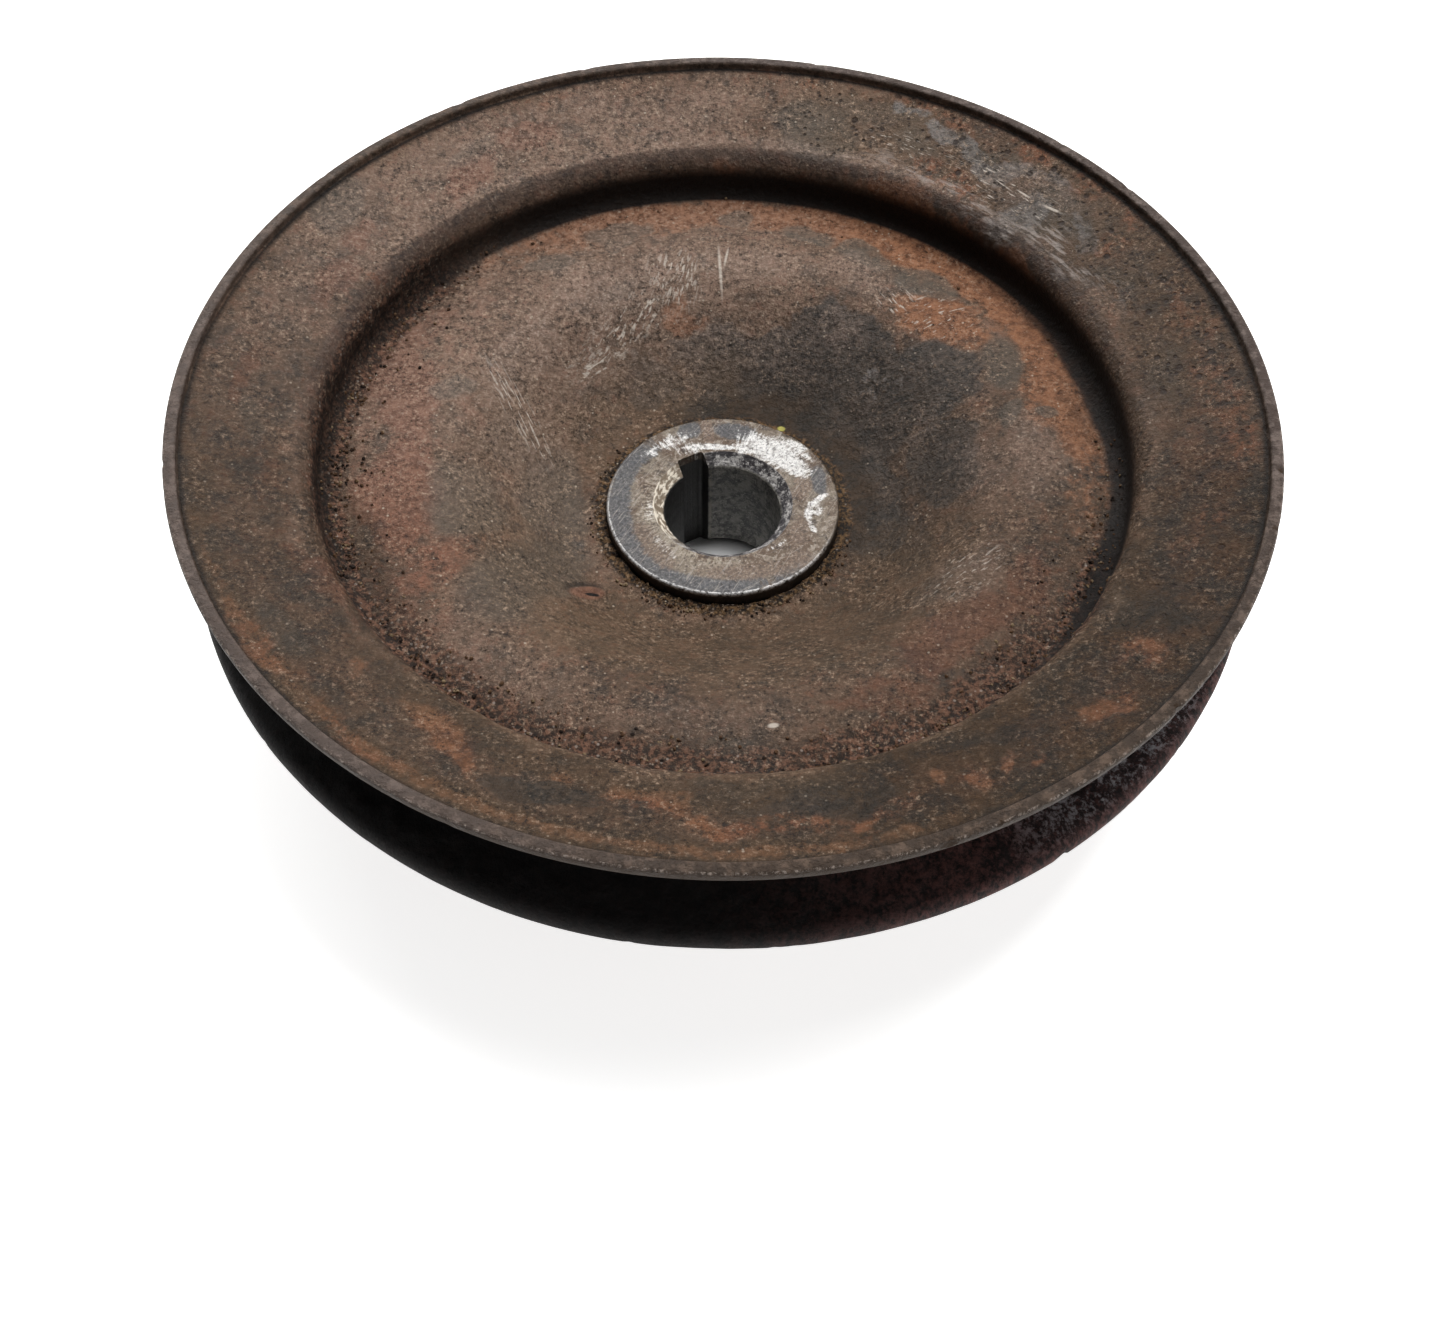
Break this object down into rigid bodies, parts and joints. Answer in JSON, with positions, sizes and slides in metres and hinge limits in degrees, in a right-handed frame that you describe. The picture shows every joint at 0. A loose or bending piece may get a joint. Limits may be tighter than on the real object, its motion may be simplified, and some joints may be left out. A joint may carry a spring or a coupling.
{
  "type": "v belt pulley",
  "caption": "Pressed steel V belt pulley with one groove, a dished web and an offset keyed hub, surface rusted with age.",
  "frame": {"origin": "centre of the hub's rear face, on the bore axis, where the pulley stands", "axes": "+Z along the bore axis, from the hub's rear end towards the front of the rim, the side with the dished recess"},
  "size_m": [0.165, 0.165, 0.0492],
  "materials": {
    "rusted_sheet": "pressed sheet steel, bare and rusted, matt",
    "worn_hub_steel": "turned steel, worn bright on the end face, stained round it",
    "weld_metal": "weld bead, scaled and rusted"
  },
  "bodies": {
    "root": {"front_disc": "rusted_sheet", "rear_flange": "rusted_sheet", "hub": "worn_hub_steel", "hub_weld": "weld_metal", "plug_weld_01": "weld_metal", "plug_weld_02": "weld_metal", "plug_weld_03": "weld_metal", "plug_weld_04": "weld_metal", "plug_weld_05": "weld_metal", "plug_weld_06": "weld_metal", "plug_weld_07": "weld_metal", "plug_weld_08": "weld_metal"}
  },
  "joints": []
}
